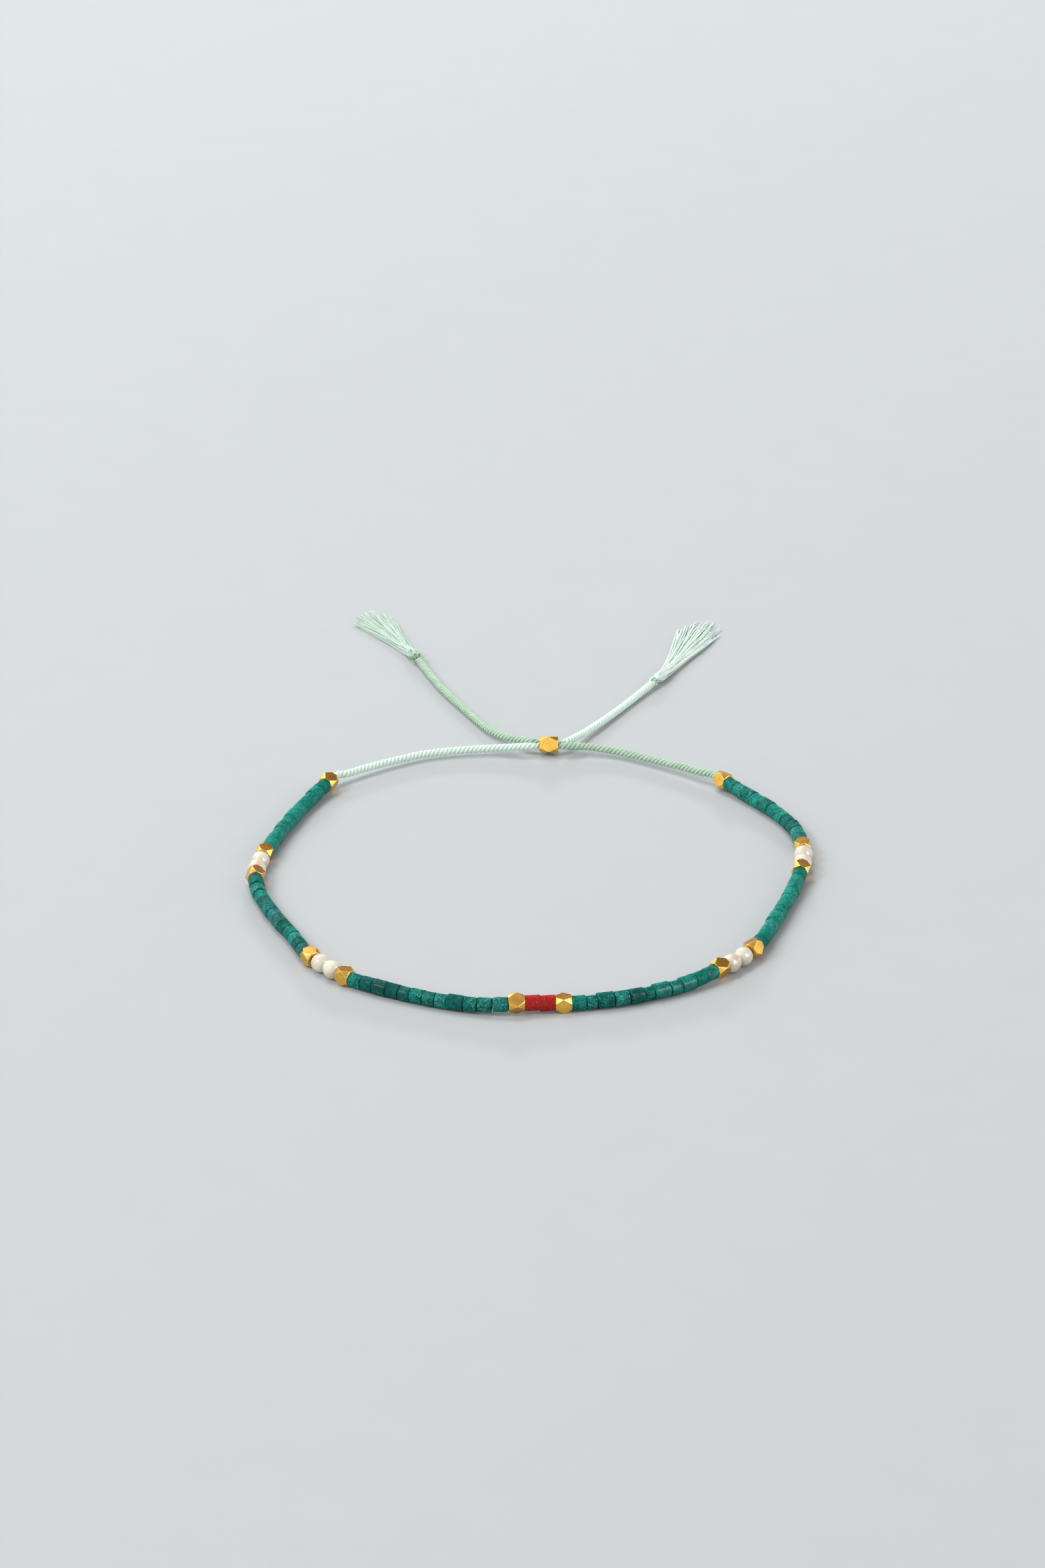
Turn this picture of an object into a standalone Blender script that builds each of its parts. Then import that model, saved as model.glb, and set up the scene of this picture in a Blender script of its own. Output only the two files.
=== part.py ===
"""Beaded bracelet on silk cord.

A strand of small drilled beads is threaded on silk. The silk leaves both ends of the strand
as a cord. Both cords pass through one sliding bead and end in a knot and a tassel.
The bracelet lies on a flat surface at z = 0, with its wrist hollow round the origin.
All sizes are in metres.
"""
import math
from collections import namedtuple
from itertools import product

import bmesh
import bpy
from mathutils import Matrix, Vector

# Bead sizes
HEISHI_DIAMETER = 0.00178
HEISHI_LENGTH = 0.00157
RED_DIAMETER = 0.00188
RED_LENGTH = 0.00172
RED_EDGE = 0.00012
PEARL_DIAMETER = 0.00225
PEARL_LENGTH = 0.00205
GOLD_ACROSS = 0.00190
GOLD_LENGTH = 0.00192
GOLD_CORNER = 0.00062
SLIDER_ACROSS = 0.00198
SLIDER_LENGTH = 0.00235
SLIDER_CORNER = 0.00055

# Thread and cord sizes
THREAD_DIAMETER = 0.00050
THREAD_CLEARANCE = 0.00015
CORD_DIAMETER = 0.00100
SQUEEZED_DIAMETER = 0.00060
SQUEEZED_CLEARANCE = 0.00011
KNOT_DIAMETER = 0.00155
KNOT_LENGTH = 0.00135
LOCK_DIAMETER = 0.00075
TASSEL_HEAD_DIAMETER = 0.00100

# Gaps between neighbours
BEAD_GAP = 0.00005
OPEN_GAP = 0.00022
JOINT_GAP = 0.00030
FLOOR_GAP = 0.00002

# Fineness of the round pieces
BEAD_SIDES = 10
SLIDER_BORE_SIDES = 12
PEARL_STEPS = 6
CORD_STEP = 0.0011
LOCK_STEPS = 5

# Bores follow what passes through them
BORE_DIAMETER = THREAD_DIAMETER + 2 * THREAD_CLEARANCE
PAIR_OFFSET = (SQUEEZED_DIAMETER + SQUEEZED_CLEARANCE) / 2
SLIDER_BORE_DIAMETER = 2 * (PAIR_OFFSET + SQUEEZED_DIAMETER / 2 + SQUEEZED_CLEARANCE)
FREE_PAIR_OFFSET = (CORD_DIAMETER + SQUEEZED_CLEARANCE) / 2

# The strand's slope keeps the thread off the wall of the longest drilled bead
SLOPE_SHARE = 0.47
STRAND_SLOPE = SLOPE_SHARE * THREAD_CLEARANCE / (max(GOLD_LENGTH, PEARL_LENGTH) / 2)

# Necks between the stones of one run, as shares of the smaller stone's radius
NECK_SHARE = 0.80
OPEN_NECK_SHARE = 0.66

# Cuts of the green stones: length and diameter as shares of HEISHI_LENGTH and HEISHI_DIAMETER,
# offset to the side as a share of THREAD_CLEARANCE
Cut = namedtuple("Cut", "length diameter offset")
CUTS = {
    "t": Cut(length=0.78, diameter=0.93, offset=0.3),
    "s": Cut(length=0.91, diameter=0.98, offset=-0.2),
    "r": Cut(length=1.00, diameter=1.00, offset=0.1),
    "w": Cut(length=1.10, diameter=1.04, offset=-0.3),
    "l": Cut(length=1.22, diameter=1.06, offset=0.2),
}

# The strand from its left end at the back, round the front, to its right end at the back.
# A run of green stones has one letter a stone, and a bar is an open gap between two stones.
Piece = namedtuple("Piece", "kind roll_deg cuts", defaults=(0, ""))
STRAND = [
    Piece("gold", roll_deg=-25),
    Piece("heishi", cuts="rwrrrlrwrwl"),
    Piece("gold", roll_deg=-12),
    Piece("pearl"),
    Piece("pearl"),
    Piece("gold", roll_deg=-30),
    Piece("heishi", cuts="lwrrwr|wrrsrs"),
    Piece("gold", roll_deg=6),
    Piece("pearl"),
    Piece("pearl"),
    Piece("gold", roll_deg=-3),
    Piece("heishi", cuts="srwrsrsslrrr"),
    Piece("gold", roll_deg=38),
    Piece("red"),
    Piece("red"),
    Piece("gold", roll_deg=0),
    Piece("heishi", cuts="rtlwwtlslss"),
    Piece("gold", roll_deg=25),
    Piece("pearl"),
    Piece("pearl"),
    Piece("gold", roll_deg=-24),
    Piece("heishi", cuts="rs|rslrr|srwrs"),
    Piece("gold", roll_deg=20),
    Piece("pearl"),
    Piece("pearl"),
    Piece("gold", roll_deg=-8),
    Piece("heishi", cuts="rwwr|rrlrwrr"),
    Piece("gold", roll_deg=22),
]

# The strand's route on the surface. The joint between the two red beads lies at STRAND_FRONT.
STRAND_FRONT = (0.0010, -0.0351)
STRAND_ROUTE = [
    (-0.0242, 0.0269), (-0.0252, 0.0250), (-0.0270, 0.0215), (-0.0289, 0.0172),
    (-0.0307, 0.0119), (-0.0322, 0.0068), (-0.0332, 0.0022), (-0.0335, -0.0018),
    (-0.0327, -0.0062), (-0.0307, -0.0118), (-0.0283, -0.0173), (-0.0261, -0.0227),
    (-0.0221, -0.0274), (-0.0164, -0.0311), (-0.0103, -0.0339), (-0.0045, -0.0355),
    STRAND_FRONT, (0.0071, -0.0345), (0.0126, -0.0330), (0.0177, -0.0306),
    (0.0223, -0.0270), (0.0264, -0.0221), (0.0291, -0.0150), (0.0313, -0.0082),
    (0.0331, -0.0015), (0.0337, 0.0034), (0.0335, 0.0075), (0.0325, 0.0120),
    (0.0302, 0.0166), (0.0273, 0.0207), (0.0245, 0.0244), (0.0232, 0.0263),
]

# The sliding bead's place and turn
SLIDER_PLACE = (0.0027, 0.0352)
SLIDER_YAW_DEG = -3
SLIDER_ROLL_DEG = -24

# The cords' points. A cord starts at the end bead of the strand and runs to the sliding bead,
# through it, and on to its knot.
LEFT_CORD_LOOP = [
    (-0.0231, 0.0275, 0.00112), (-0.0210, 0.0291, 0.00102), (-0.0185, 0.0308, 0.00094),
    (-0.0160, 0.0323, 0.00088), (-0.0134, 0.0336, 0.00084), (-0.0109, 0.0343, 0.00082),
    (-0.0083, 0.0348, 0.00082), (-0.0060, 0.0350, 0.00087), (-0.0040, 0.0350, 0.00096),
    (-0.0021, 0.0349, 0.00110), (-0.0003, 0.0347, 0.00130),
]
LEFT_CORD_TAIL = [
    (0.0052, 0.0363, 0.00126), (0.0065, 0.0383, 0.00100), (0.0080, 0.0407, 0.00078),
    (0.0098, 0.0436, 0.00066), (0.0115, 0.0465, 0.00057), (0.0133, 0.0496, 0.00055),
    (0.0148, 0.0522, 0.00058), (0.0161, 0.0544, 0.00068),
]
RIGHT_CORD_LOOP = [
    (0.0217, 0.0270, 0.00112), (0.0200, 0.0284, 0.00102), (0.0180, 0.0298, 0.00093),
    (0.0159, 0.0312, 0.00086), (0.0138, 0.0325, 0.00083), (0.0117, 0.0337, 0.00084),
    (0.0096, 0.0345, 0.00092), (0.0077, 0.0349, 0.00105), (0.0060, 0.0347, 0.00124),
]
RIGHT_CORD_TAIL = [
    (0.0003, 0.0361, 0.00130), (-0.0009, 0.0369, 0.00112), (-0.0023, 0.0381, 0.00090),
    (-0.0039, 0.0397, 0.00070), (-0.0053, 0.0418, 0.00060), (-0.0068, 0.0448, 0.00056),
    (-0.0083, 0.0480, 0.00055), (-0.0098, 0.0511, 0.00055), (-0.0112, 0.0543, 0.00055),
    (-0.0125, 0.0578, 0.00056), (-0.0135, 0.0607, 0.00060), (-0.0142, 0.0626, 0.00068),
]
CORD_LEAD = 0.0012
SLIDER_PASS_DEGREES = (-90, -45, 0, 45, 90)
SLIDER_PASS_LENGTH = 0.0033

# Tassels: which way they lie, how wide they fan and how long their longest lock is
Tassel = namedtuple("Tassel", "heading_deg fan_deg length")
RIGHT_TASSEL = Tassel(heading_deg=70, fan_deg=9.5, length=0.0210)
LEFT_TASSEL = Tassel(heading_deg=114.5, fan_deg=11, length=0.0168)

# Locks of a tassel, as shares of its fan, its length and a lock's diameter
Lock = namedtuple("Lock", "fan length lift")
LOCKS = [
    Lock(fan=-1.00, length=0.84, lift=0.1),
    Lock(fan=-0.62, length=0.90, lift=0.6),
    Lock(fan=-0.25, length=0.97, lift=0.1),
    Lock(fan=0.12, length=1.00, lift=0.7),
    Lock(fan=0.52, length=0.95, lift=0.1),
    Lock(fan=0.94, length=0.82, lift=0.5),
]

# Colour, roughness and metallic value of each material
Finish = namedtuple("Finish", "colour roughness metallic")
FINISHES = {
    "gold": Finish((0.62, 0.38, 0.09), 0.35, 1.0),
    "heishi": Finish((0.008, 0.19, 0.14), 0.42, 0.0),
    "red": Finish((0.50, 0.015, 0.018), 0.40, 0.0),
    "pearl": Finish((0.86, 0.82, 0.74), 0.22, 0.0),
    "silk": Finish((0.42, 0.68, 0.50), 0.70, 0.0),
}

Bead = namedtuple("Bead", "kind place heading length radius roll")


def clear_scene():
    """Remove every object that is in the scene."""
    for scene_object in list(bpy.data.objects):
        bpy.data.objects.remove(scene_object)


def make_collection(name):
    """Return a new collection under the scene's own."""
    collection = bpy.data.collections.new(name)
    bpy.context.scene.collection.children.link(collection)
    return collection


def set_finish(piece, kind):
    """Give a piece a Principled material of its own."""
    finish = FINISHES[kind]
    material = bpy.data.materials.new(piece.name)
    material.use_nodes = True
    shader = material.node_tree.nodes["Principled BSDF"]
    shader.inputs["Base Color"].default_value = (*finish.colour, 1.0)
    shader.inputs["Roughness"].default_value = finish.roughness
    shader.inputs["Metallic"].default_value = finish.metallic
    piece.active_material = material


def add_piece(name, mesh, kind, collection):
    """Link an object with the given mesh or curve and finish."""
    piece = bpy.data.objects.new(name, mesh)
    collection.objects.link(piece)
    mesh.materials.clear()
    mesh.materials.append(None)
    piece.material_slots[0].link = "OBJECT"
    set_finish(piece, kind)
    return piece


def finish_mesh(bm, name):
    """Turn a bmesh into a mesh with its faces pointing out and its edges sharp where they bend."""
    bmesh.ops.recalc_face_normals(bm, faces=bm.faces)
    mesh = bpy.data.meshes.new(name)
    bm.to_mesh(mesh)
    bm.free()
    mesh.shade_smooth()
    mesh.set_sharp_from_angle(angle=math.radians(38))
    return mesh


def evaluated_mesh(piece):
    """Return a mesh of the piece as its modifiers leave it."""
    depsgraph = bpy.context.evaluated_depsgraph_get()
    return bpy.data.meshes.new_from_object(piece.evaluated_get(depsgraph), depsgraph=depsgraph)


# Beads, made along their own X axis round the origin


def turned_mesh(name, profile):
    """Spin a closed profile of (along, out) points round X."""
    bm = bmesh.new()
    verts = [bm.verts.new((along, 0, -out)) for along, out in profile]
    edges = [bm.edges.new(pair) for pair in zip(verts, verts[1:] + verts[:1])]
    bmesh.ops.spin(bm, geom=verts + edges, cent=(0, 0, 0), axis=(1, 0, 0), angle=math.tau,
                   steps=BEAD_SIDES, use_merge=True, use_duplicate=False)
    return finish_mesh(bm, name)


def red_mesh():
    """Short cylinder with worn rims and a bore."""
    half = RED_LENGTH / 2
    radius = RED_DIAMETER / 2
    bore = BORE_DIAMETER / 2
    profile = [(-half, bore), (-half, radius - RED_EDGE), (RED_EDGE - half, radius),
               (half - RED_EDGE, radius), (half, radius - RED_EDGE), (half, bore)]
    return turned_mesh("red_bead", profile)


def pearl_mesh():
    """Rounded bead, a little shorter than it is wide, with a bore."""
    half = PEARL_LENGTH / 2
    radius = PEARL_DIAMETER / 2
    bore = BORE_DIAMETER / 2
    mouth = math.asin(bore / radius)
    profile = []
    for step in range(PEARL_STEPS + 1):
        angle = mouth + (math.pi - 2 * mouth) * step / PEARL_STEPS
        profile.append((-half * math.cos(angle) / math.cos(mouth), radius * math.sin(angle)))
    return turned_mesh("pearl", profile)


def cornerless_cube(name, across, length, corner):
    """Cube bead whose eight cut corners meet at the middle of each long edge."""
    half = across / 2
    inner = half - corner
    bm = bmesh.new()
    for side_y, side_z in product((-1, 1), repeat=2):
        bm.verts.new((0, side_y * half, side_z * half))
        for end in (-1, 1):
            bm.verts.new((end * length / 2, side_y * half, side_z * inner))
            bm.verts.new((end * length / 2, side_y * inner, side_z * half))
    bmesh.ops.convex_hull(bm, input=bm.verts)
    bmesh.ops.dissolve_limit(bm, angle_limit=math.radians(1), verts=bm.verts, edges=bm.edges)
    return finish_mesh(bm, name)


def drilled_mesh(mesh, bore, length, sides, cutters):
    """Drill a mesh along X and return the result."""
    blank = bpy.data.objects.new(mesh.name, mesh)
    cutters.objects.link(blank)
    bm = bmesh.new()
    bmesh.ops.create_cone(bm, cap_ends=True, segments=sides, radius1=bore / 2, radius2=bore / 2,
                          depth=2 * length, matrix=Matrix.Rotation(math.pi / 2, 4, "Y"))
    drill = bpy.data.objects.new(mesh.name + "_drill", finish_mesh(bm, mesh.name + "_drill"))
    cutters.objects.link(drill)
    drill.hide_render = True
    drill.display_type = "WIRE"
    cut = blank.modifiers.new("bore", "BOOLEAN")
    cut.operation = "DIFFERENCE"
    cut.object = drill
    drilled = evaluated_mesh(blank)
    bpy.data.objects.remove(blank)
    bpy.data.objects.remove(drill)
    return drilled


# Routes


def smooth_route(points, steps=24):
    """Return points and lengths along a Catmull-Rom curve through the given points."""
    knots = [Vector(point).to_3d() for point in points]
    knots = [2 * knots[0] - knots[1]] + knots + [2 * knots[-1] - knots[-2]]
    path = [knots[1]]
    for a, b, c, d in zip(knots, knots[1:], knots[2:], knots[3:]):
        for step in range(1, steps + 1):
            t = step / steps
            path.append(b + 0.5 * t * ((c - a) + t * ((2 * a - 5 * b + 4 * c - d)
                        + t * (3 * b - a - 3 * c + d))))
    lengths = [0.0]
    for start, end in zip(path, path[1:]):
        lengths.append(lengths[-1] + (end - start).length)
    return path, lengths


def place_on(route, distance):
    """Return the place and heading at a distance along a route, straight on past its ends."""
    path, lengths = route
    index = 1
    while index < len(path) - 1 and lengths[index] < distance:
        index += 1
    step = path[index] - path[index - 1]
    share = (distance - lengths[index - 1]) / (lengths[index] - lengths[index - 1])
    return path[index - 1] + share * step, step.normalized()


def smooth_heading(route, distance, reach):
    """Return the heading of the chord that reaches both ways from a distance."""
    ahead = place_on(route, distance + reach)[0]
    behind = place_on(route, distance - reach)[0]
    return (ahead - behind).normalized()


# Laying out the strand


def bead_size(kind, cut):
    """Return length and radius of one bead."""
    if kind == "heishi":
        return HEISHI_LENGTH * CUTS[cut].length, HEISHI_DIAMETER / 2 * CUTS[cut].diameter
    if kind == "gold":
        return GOLD_LENGTH, GOLD_ACROSS / 2
    if kind == "pearl":
        return PEARL_LENGTH, PEARL_DIAMETER / 2
    return RED_LENGTH, RED_DIAMETER / 2


def resting_height(kind, radius, roll):
    """Return the height of a bead's axis when it rests on the surface."""
    if kind == "gold":
        return radius * (abs(math.cos(roll)) + abs(math.sin(roll)))
    return radius


def strand_rows():
    """List each bead as kind, cut, roll, piece number and whether an open gap comes before it."""
    rows = []
    for number, piece in enumerate(STRAND):
        opened = False
        for cut in piece.cuts or "-":
            if cut == "|":
                opened = True
                continue
            rows.append((piece.kind, cut, math.radians(piece.roll_deg), number, opened))
            opened = False
    return rows


def bead_distances(rows, route, start):
    """Return the distance of each bead's centre along the route.

    Where the route bends, the gap between two beads widens so that their rims stay clear.
    """
    distances = []
    end = start
    for index, (kind, cut, _, _, opened) in enumerate(rows):
        length, radius = bead_size(kind, cut)
        if index:
            reach = length / 2
            turn = smooth_heading(route, end - reach, reach).angle(
                smooth_heading(route, end + reach, reach))
            end += BEAD_GAP + radius * turn + (OPEN_GAP if opened else 0)
        distances.append(end + length / 2)
        end += length
    return distances


def lay_strand():
    """Place every bead on the route and group them by their piece of the strand."""
    route = smooth_route(STRAND_ROUTE)
    path, lengths = route
    front = Vector(STRAND_FRONT).to_3d()
    middle = min(zip(path, lengths), key=lambda row: (row[0] - front).length)[1]
    rows = strand_rows()
    red = [index for index, row in enumerate(rows) if row[0] == "red"]
    start = 0
    for _ in range(3):
        distances = bead_distances(rows, route, start)
        start += middle - (distances[red[0]] + distances[red[1]]) / 2
    rests = []
    for (kind, cut, roll, _, _), distance in zip(rows, distances):
        rests.append((distance, resting_height(kind, bead_size(kind, cut)[1], roll)))
    groups = [[] for _ in STRAND]
    for (kind, cut, roll, number, _), distance in zip(rows, distances):
        length, radius = bead_size(kind, cut)
        height = max(rest - STRAND_SLOPE * abs(distance - other) for other, rest in rests)
        place = place_on(route, distance)[0]
        place.z = height
        heading = smooth_heading(route, distance, length / 2)
        if kind == "heishi":
            side = Vector((-heading.y, heading.x, 0))
            place += side * CUTS[cut].offset * THREAD_CLEARANCE
        groups[number].append(Bead(kind, place, heading, length, radius, roll))
    return groups


def bead_matrix(bead):
    """Return the transform from a bead's own axes to its place on the strand."""
    yaw = math.atan2(bead.heading.y, bead.heading.x)
    return (Matrix.Translation(bead.place) @ Matrix.Rotation(yaw, 4, "Z")
            @ Matrix.Rotation(bead.roll, 4, "X"))


# Runs of green stones, fused at their necks


def ring_points(place, heading, radius):
    """Return the corners of a ring round a level heading, the first one at its lowest point."""
    side = Vector((-heading.y, heading.x, 0))
    ring = []
    for step in range(BEAD_SIDES):
        angle = math.tau * step / BEAD_SIDES
        ring.append(place + radius * (math.sin(angle) * side - math.cos(angle) * Vector((0, 0, 1))))
    return ring


def run_rings(beads):
    """Return the outer and bore rings of a run, in order along it."""
    outer = []
    bore = []
    for index, bead in enumerate(beads):
        back = bead.place - bead.heading * bead.length / 2
        front = bead.place + bead.heading * bead.length / 2
        if index:
            last = beads[index - 1]
            last_front = last.place + last.heading * last.length / 2
            neck = (last_front + back) / 2
            gap = (back - last_front).length
            share = OPEN_NECK_SHARE if gap > OPEN_GAP else NECK_SHARE
            heading = (last.heading + bead.heading).normalized()
            outer.append(ring_points(neck, heading, share * min(last.radius, bead.radius)))
            bore.append(ring_points(neck, heading, BORE_DIAMETER / 2))
        outer.append(ring_points(back, bead.heading, bead.radius))
        outer.append(ring_points(front, bead.heading, bead.radius))
        if index == 0:
            bore.append(ring_points(back, bead.heading, BORE_DIAMETER / 2))
        if index == len(beads) - 1:
            bore.append(ring_points(front, bead.heading, BORE_DIAMETER / 2))
    return outer, bore


def run_mesh(name, beads):
    """Loft a run of stones out along its rims and necks, and back through its bore."""
    outer, bore = run_rings(beads)
    bm = bmesh.new()
    rings = [[bm.verts.new(point) for point in ring] for ring in outer + bore[::-1]]
    for ring, following in zip(rings, rings[1:] + rings[:1]):
        for step in range(BEAD_SIDES):
            after = (step + 1) % BEAD_SIDES
            bm.faces.new((ring[step], ring[after], following[after], following[step]))
    return finish_mesh(bm, name)


# Thread, cords, knots and tassels


def add_tube(name, points, diameter, kind, collection, resolution=2, shares=None):
    """Add a closed round tube through the points, thinned by a share at each point."""
    curve = bpy.data.curves.new(name, "CURVE")
    curve.dimensions = "3D"
    curve.bevel_depth = diameter / 2
    curve.bevel_resolution = resolution
    curve.use_fill_caps = True
    spline = curve.splines.new("POLY")
    spline.points.add(len(points) - 1)
    for index, point in enumerate(points):
        spline.points[index].co = (*point, 1.0)
        spline.points[index].radius = shares[index] if shares else 1.0
    return add_piece(name, curve, kind, collection)


def add_thread(groups, collection):
    """Thread the whole strand, from just inside one end bead to just inside the other."""
    beads = [bead for group in groups for bead in group]
    inset = JOINT_GAP / 2
    points = [bead.place for bead in beads]
    points[0] = beads[0].place - beads[0].heading * (beads[0].length / 2 - inset)
    points[-1] = beads[-1].place + beads[-1].heading * (beads[-1].length / 2 - inset)
    add_tube("bead_thread", points, THREAD_DIAMETER, "silk", collection, resolution=1)


def slider_height():
    """Return the height of the sliding bead's axis as it rests."""
    return resting_height("gold", SLIDER_ACROSS / 2, math.radians(SLIDER_ROLL_DEG))


def slider_pass(direction):
    """Return points through the sliding bead, for a cord that travels along X or against it.

    The two cords go half round each other, so that each leaves on the far side.
    """
    yaw = math.radians(SLIDER_YAW_DEG)
    heading = Vector((math.cos(yaw), math.sin(yaw), 0))
    side = Vector((-heading.y, heading.x, 0))
    centre = Vector((*SLIDER_PLACE, slider_height()))
    points = []
    for degrees in SLIDER_PASS_DEGREES:
        turn = math.radians(degrees)
        along = SLIDER_PASS_LENGTH / 2 * degrees / SLIDER_PASS_DEGREES[-1]
        inside = abs(along) < SLIDER_LENGTH / 2
        offset = PAIR_OFFSET if inside else FREE_PAIR_OFFSET
        points.append(centre + direction * along * heading
                      + offset * (math.sin(turn) * side + direction * math.cos(turn) * Vector((0, 0, 1))))
    return points


def cord_shares(points):
    """Return each point's share of the cord's diameter, thinner where the bead squeezes it."""
    centre = Vector((*SLIDER_PLACE, slider_height()))
    squeezed = SQUEEZED_DIAMETER / CORD_DIAMETER
    shares = []
    for point in points:
        past = ((point - centre).length - SLIDER_LENGTH / 2 - SQUEEZED_CLEARANCE) / CORD_DIAMETER
        shares.append(squeezed + (1 - squeezed) * min(max(past, 0), 1))
    return shares


def add_cord(name, bead, outward, loop, direction, tail, collection):
    """Add a cord from an end bead through the sliding bead, and return its far end and heading."""
    mouth = bead.place + outward * (bead.length + JOINT_GAP) / 2
    points = [mouth, mouth + outward * CORD_LEAD, *loop, *slider_pass(direction), *tail]
    route = smooth_route(points)
    length = route[1][-1]
    count = round(length / CORD_STEP)
    sampled = [place_on(route, length * step / count)[0] for step in range(count + 1)]
    add_tube(name, sampled, CORD_DIAMETER, "silk", collection, shares=cord_shares(sampled))
    return place_on(route, length)


def add_knot(name, end, heading, collection):
    """Add the knot that stops a cord, and return where its far side is."""
    level = Vector((heading.x, heading.y, 0)).normalized()
    place = end + level * (JOINT_GAP + KNOT_LENGTH / 2)
    place.z = KNOT_DIAMETER / 2 + FLOOR_GAP
    bm = bmesh.new()
    bmesh.ops.create_uvsphere(bm, u_segments=BEAD_SIDES, v_segments=6, radius=0.5)
    bmesh.ops.scale(bm, vec=(KNOT_LENGTH, KNOT_DIAMETER, KNOT_DIAMETER), verts=bm.verts)
    knot = add_piece(name, finish_mesh(bm, name), "silk", collection)
    knot.location = place
    knot.rotation_euler.z = math.atan2(level.y, level.x)
    return place + level * (KNOT_LENGTH / 2 + JOINT_GAP), level


def lock_points(root, leave, tassel, lock):
    """Return a lock's points and thicknesses, from the tassel's head to the lock's tip."""
    angle = math.radians(tassel.heading_deg - tassel.fan_deg * lock.fan)
    reach = tassel.length * lock.length
    outward = Vector((math.cos(angle), math.sin(angle), 0))
    tip = root + reach * outward
    bend = root + (leave + 2 * outward).normalized() * reach / 3
    points = []
    shares = []
    for step in range(LOCK_STEPS + 1):
        t = step / LOCK_STEPS
        share = 0.70 + 0.75 * t * (1 - t) - 0.35 * t * t
        point = (1 - t) ** 2 * root + 2 * t * (1 - t) * bend + t * t * tip
        rest = LOCK_DIAMETER * (share / 2 + lock.lift * t * (1 - t)) + FLOOR_GAP
        point.z = max((1 - 2 * t) * root.z, rest)
        points.append(point)
        shares.append(share)
    return points, shares


def add_tassel(name, start, leave, tassel, collection, cutters):
    """Add a tassel: locks that fan out, joined in one body at its head."""
    root = start + leave * TASSEL_HEAD_DIAMETER / 2
    bm = bmesh.new()
    bmesh.ops.create_uvsphere(bm, u_segments=8, v_segments=6, radius=TASSEL_HEAD_DIAMETER / 2,
                              matrix=Matrix.Translation(root))
    head = add_piece(name, finish_mesh(bm, name), "silk", collection)
    locks = []
    for number, lock in enumerate(LOCKS):
        points, shares = lock_points(root, leave, tassel, lock)
        tube = add_tube(f"{name}_lock_{number}", points, LOCK_DIAMETER, "silk", cutters,
                        resolution=1, shares=shares)
        bm = bmesh.new()
        bm.from_mesh(evaluated_mesh(tube))
        bmesh.ops.remove_doubles(bm, verts=bm.verts, dist=1e-6)
        solid = bpy.data.objects.new(tube.name + "_solid", finish_mesh(bm, tube.name))
        bpy.data.objects.remove(tube)
        cutters.objects.link(solid)
        solid.hide_render = True
        solid.display_type = "WIRE"
        join = head.modifiers.new(solid.name, "BOOLEAN")
        join.operation = "UNION"
        join.object = solid
        locks.append(solid)
    head.data = evaluated_mesh(head)
    head.modifiers.clear()
    for solid in locks:
        bpy.data.objects.remove(solid)
    return head


def add_strand(groups, collection, cutters):
    """Add every bead and run of the strand."""
    gold = cornerless_cube("gold_bead", GOLD_ACROSS, GOLD_LENGTH, GOLD_CORNER)
    meshes = {
        "gold": drilled_mesh(gold, BORE_DIAMETER, GOLD_LENGTH, BEAD_SIDES, cutters),
        "pearl": pearl_mesh(),
        "red": red_mesh(),
    }
    counts = dict.fromkeys(["gold", "pearl", "red", "heishi"], 0)
    for group in groups:
        kind = group[0].kind
        counts[kind] += 1
        if kind == "heishi":
            name = "heishi_run_" + "abcdefghij"[counts[kind] - 1]
            add_piece(name, run_mesh(name, group), kind, collection)
        else:
            bead = add_piece(f"{kind}_bead_{counts[kind]:02d}", meshes[kind].copy(), kind, collection)
            bead.matrix_world = bead_matrix(group[0])


def add_slider(collection, cutters):
    """Add the sliding bead that both cords pass through."""
    blank = cornerless_cube("slider_bead", SLIDER_ACROSS, SLIDER_LENGTH, SLIDER_CORNER)
    mesh = drilled_mesh(blank, SLIDER_BORE_DIAMETER, SLIDER_LENGTH, SLIDER_BORE_SIDES, cutters)
    slider = add_piece("slider_bead", mesh, "gold", collection)
    yaw = Matrix.Rotation(math.radians(SLIDER_YAW_DEG), 4, "Z")
    roll = Matrix.Rotation(math.radians(SLIDER_ROLL_DEG), 4, "X")
    slider.matrix_world = Matrix.Translation((*SLIDER_PLACE, slider_height())) @ yaw @ roll


def main():
    """Build the bracelet."""
    clear_scene()
    bracelet = make_collection("bracelet")
    cutters = make_collection("cutters")
    groups = lay_strand()
    add_strand(groups, bracelet, cutters)
    add_thread(groups, bracelet)
    add_slider(bracelet, cutters)
    first = groups[0][0]
    last = groups[-1][-1]
    end, heading = add_cord("cord_left", first, -first.heading, LEFT_CORD_LOOP, 1,
                            LEFT_CORD_TAIL, bracelet)
    start, leave = add_knot("knot_right", end, heading, bracelet)
    add_tassel("tassel_right", start, leave, RIGHT_TASSEL, bracelet, cutters)
    end, heading = add_cord("cord_right", last, last.heading, RIGHT_CORD_LOOP, -1,
                            RIGHT_CORD_TAIL, bracelet)
    start, leave = add_knot("knot_left", end, heading, bracelet)
    add_tassel("tassel_left", start, leave, LEFT_TASSEL, bracelet, cutters)


main()
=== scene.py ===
"""Dress the beaded bracelet: stone, gold, pearl and silk round the fixed frame.

All sizes are in metres, in the frame's own axes, and the bracelet lies on the floor at z = 0.
"""
import math
import random
from collections import namedtuple

import bmesh
import bpy
from bpy.props import FloatProperty, FloatVectorProperty, IntProperty, PointerProperty
from mathutils import Matrix, Vector, noise


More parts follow.
